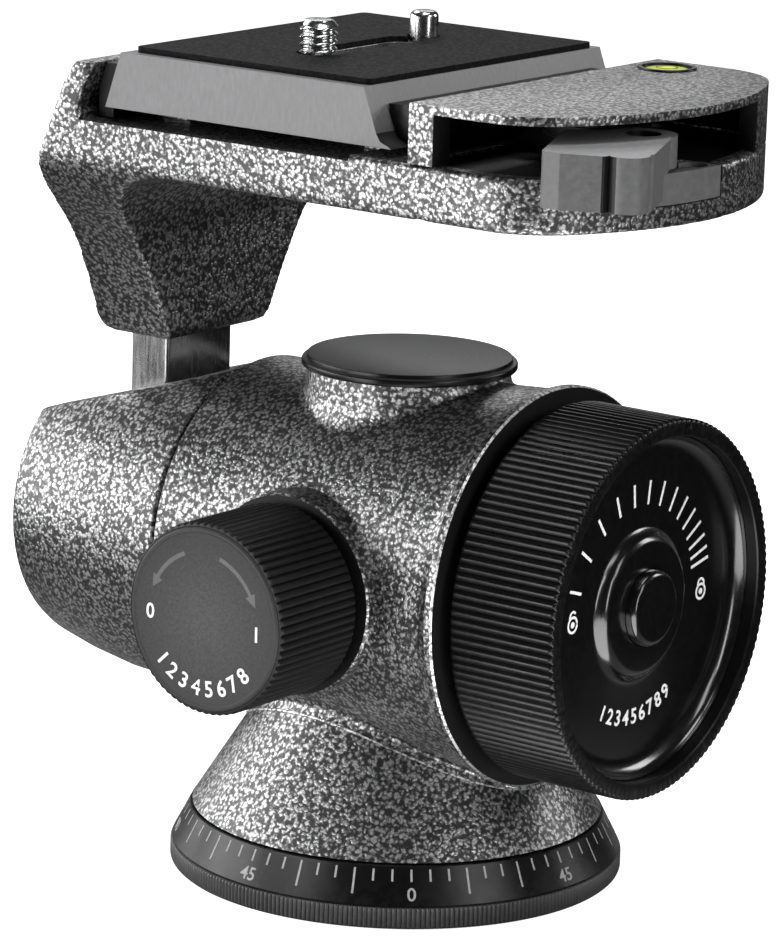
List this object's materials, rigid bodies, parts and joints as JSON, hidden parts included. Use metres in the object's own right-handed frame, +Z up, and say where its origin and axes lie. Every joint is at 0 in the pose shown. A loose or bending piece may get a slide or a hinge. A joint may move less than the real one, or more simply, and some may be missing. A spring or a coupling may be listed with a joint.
{
  "type": "off-centre ball head with quick-release platform",
  "caption": "Tripod ball head with a side drum that carries the ball off-centre, a pan dial base, two lock knobs and a lever-clamped quick-release plate.",
  "frame": {"origin": "centre of the base's underside, where the tripod thread opens", "axes": "+Z up along the pan axis, +X along the barrel towards the tilt lock knob, -Y towards the pan lock knob"},
  "size_m": [0.1313, 0.0915, 0.144],
  "materials": {
    "hammer_paint": "hammer-finish paint over a light-alloy casting, silver speckle on dark grey",
    "black_anodised": "black anodised, satin",
    "gloss_black": "glossy black",
    "black_nylon": "matte black",
    "satin_grey": "grey satin",
    "rubber_black": "matte black",
    "steel_bright": "polished",
    "steel_plain": "machined",
    "steel_black": "blackened",
    "bronze": "machined",
    "bearing_plastic": "low-friction plastic",
    "level_fluid": "clear yellow-green fluid"
  },
  "bodies": {
    "base": {"base_dial": "black_anodised", "tripod_bush": "steel_bright", "pan_spindle": "steel_plain", "spindle_screws": "steel_plain", "thrust_washer": "bearing_plastic", "spindle_washer": "steel_plain", "spindle_nut": "steel_plain"},
    "housing_body": {"housing": "hammer_paint", "top_cap": "black_anodised", "pan_bush": "bronze", "tilt_lock_bush": "bronze"},
    "pan_knob": {"pan_knob_grip": "black_anodised", "pan_knob_face": "black_anodised", "pan_lock_screw": "steel_plain"},
    "pan_brake": {"pan_brake_plunger": "steel_plain"},
    "tilt_knob": {"tilt_knob_grip": "black_anodised", "tilt_knob_face": "gloss_black", "tilt_knob_button": "gloss_black", "tilt_lock_screw": "steel_plain"},
    "drum": {"ball_drum": "hammer_paint", "drum_flange": "steel_plain", "drum_flange_screws": "steel_plain", "drum_friction_washer": "bearing_plastic"},
    "thrust": {"thrust_rod": "steel_plain", "disc_springs": "steel_plain", "ball_seat": "bronze"},
    "ball": {"ball_stem": "steel_bright", "stem_bolts": "steel_black", "platform_arm": "hammer_paint", "clamp_cover": "hammer_paint", "cover_screws": "steel_black", "jaw_liner": "black_nylon", "lever_pin": "steel_bright", "level_bezel": "black_anodised", "level_vial": "level_fluid", "lever_spring": "steel_plain", "catch_pin": "steel_bright", "catch_spring": "steel_plain"},
    "lever": {"qr_lever": "satin_grey"},
    "jaw": {"clamp_jaw": "black_nylon"},
    "catch": {"safety_catch": "satin_grey"},
    "plate": {"qr_plate": "satin_grey", "plate_pad": "rubber_black", "pin_spring": "steel_plain", "pin_plug": "steel_bright"},
    "screw_carrier": {"screw_retainer": "steel_bright"},
    "screw": {"camera_screw": "steel_bright"},
    "twist_pin": {"anti_twist_pin": "steel_bright"}
  },
  "joints": [
    {"name": "pan", "type": "hinge", "parent": "base", "child": "housing_body", "pos_m": [0, 0, 0.0103], "axis": [0, 0, 1], "continuous": true},
    {"name": "pan_lock", "type": "hinge", "parent": "housing_body", "child": "pan_knob", "pos_m": [0, -0.053, 0.0526], "axis": [0, -1, 0], "range_deg": [0, 180]},
    {"name": "pan_brake_lift", "type": "slide", "parent": "housing_body", "child": "pan_brake", "axis": [0, 0, 1], "range_m": [0, 0.0008]},
    {"name": "tilt_lock", "type": "hinge", "parent": "housing_body", "child": "tilt_knob", "pos_m": [0.052, 0, 0.0533], "axis": [1, 0, 0], "range_deg": [0, 200]},
    {"name": "drum_turn", "type": "hinge", "parent": "housing_body", "child": "drum", "pos_m": [-0.0308, 0, 0.0533], "axis": [1, 0, 0], "range_deg": [-90, 90]},
    {"name": "ball_thrust", "type": "slide", "parent": "drum", "child": "thrust", "axis": [1, 0, 0], "range_m": [0, 0.0006]},
    {"name": "ball_swing", "type": "hinge", "parent": "drum", "child": "ball", "pos_m": [-0.049, 0, 0.0533], "axis": [0, -1, 0], "range_deg": [-12, 90]},
    {"name": "clamp_lever", "type": "hinge", "parent": "ball", "child": "lever", "pos_m": [0.0516, -0.0104, 0.1293], "axis": [0, 0, 1], "range_deg": [0, 50], "stiffness_Nm_per_rad": 0.15, "springref_deg": -20.05, "deforming": ["lever_spring"]},
    {"name": "jaw_slide", "type": "slide", "parent": "ball", "child": "jaw", "axis": [1, 0, 0], "range_m": [0, 0.0016]},
    {"name": "catch_press", "type": "hinge", "parent": "ball", "child": "catch", "pos_m": [0.055, -0.0012, 0.124], "axis": [0, 0, -1], "range_deg": [0, 4], "stiffness_Nm_per_rad": 0.05, "springref_deg": -28.65, "deforming": ["catch_spring"]},
    {"name": "plate_slide", "type": "slide", "parent": "ball", "child": "plate", "axis": [0, -1, 0], "range_m": [0, 0.066]},
    {"name": "screw_slide", "type": "slide", "parent": "plate", "child": "screw_carrier", "axis": [0, 1, 0], "range_m": [0, 0.008]},
    {"name": "screw_turn", "type": "hinge", "parent": "screw_carrier", "child": "screw", "pos_m": [-0.0102, -0.0138, 0.1323], "axis": [0, 0, 1], "continuous": true},
    {"name": "pin_press", "type": "slide", "parent": "plate", "child": "twist_pin", "axis": [0, 0, -1], "range_m": [0, 0.0034], "stiffness_N_per_m": 400, "springref_m": -0.004, "deforming": ["pin_spring"]}
  ],
  "couplings": [
    {"joint": "pan_brake_lift", "follows": "pan_lock", "m_per_rad": 0.00025},
    {"joint": "ball_thrust", "follows": "tilt_lock", "m_per_rad": 0.00017},
    {"joint": "jaw_slide", "follows": "clamp_lever", "m_per_rad": 0.00183}
  ]
}
